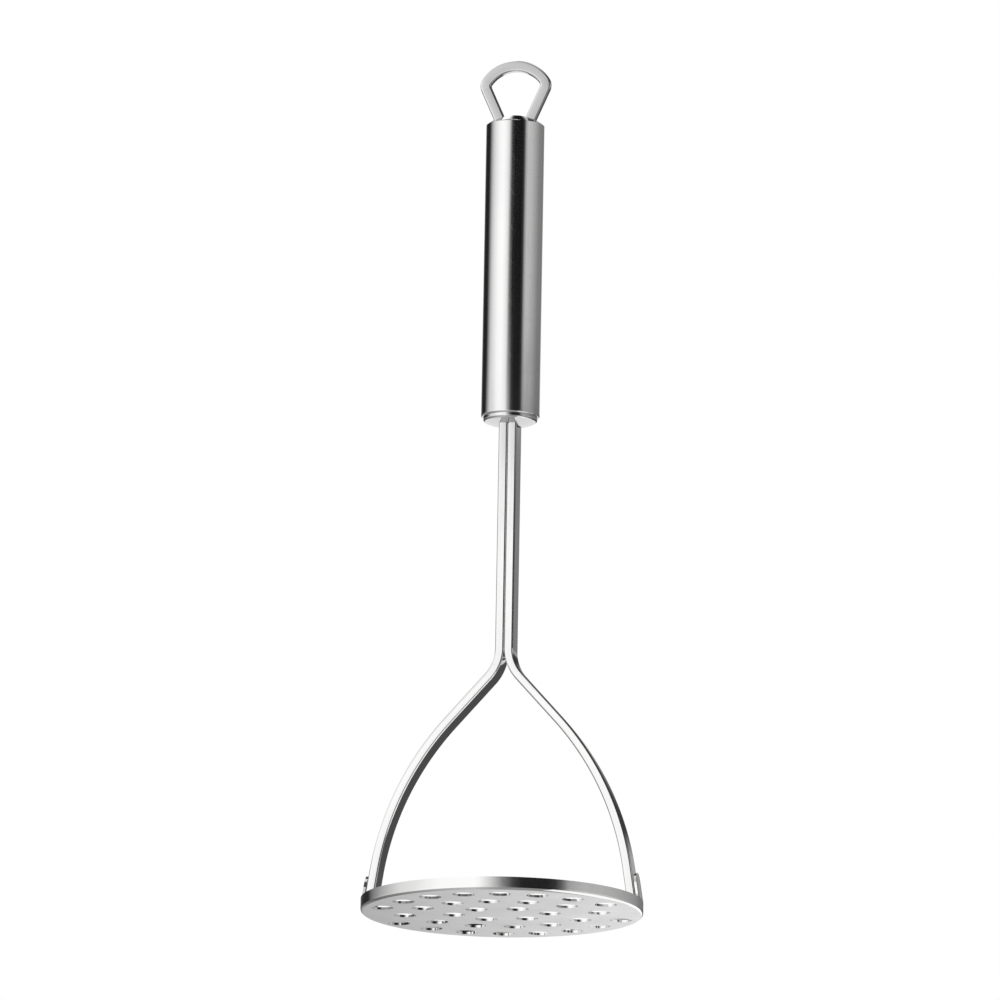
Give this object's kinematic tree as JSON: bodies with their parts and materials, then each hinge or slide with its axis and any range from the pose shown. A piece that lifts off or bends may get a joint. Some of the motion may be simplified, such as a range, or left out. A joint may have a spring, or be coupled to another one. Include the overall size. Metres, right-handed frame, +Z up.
{
  "type": "potato masher",
  "caption": "One-handed potato masher in stainless steel: round perforated disc with an upturned rim, forked flat bars, tubular handle and fixed hanging loop.",
  "frame": {"origin": "centre of the mashing disc's underside, on the surface that the masher stands on", "axes": "+Z up the shaft to the hanging loop; the forked bars and the loop lie in the XZ plane, so +X points to the right bar's foot"},
  "size_m": [0.093, 0.093, 0.2885],
  "materials": {
    "polished_steel": "polished",
    "brushed_steel": "satin"
  },
  "bodies": {
    "root": {"mashing_disc": "brushed_steel", "left_bar": "polished_steel", "right_bar": "polished_steel", "lower_plug": "polished_steel", "handle_tube": "polished_steel", "end_cap": "polished_steel", "hanging_loop": "polished_steel"}
  },
  "joints": []
}
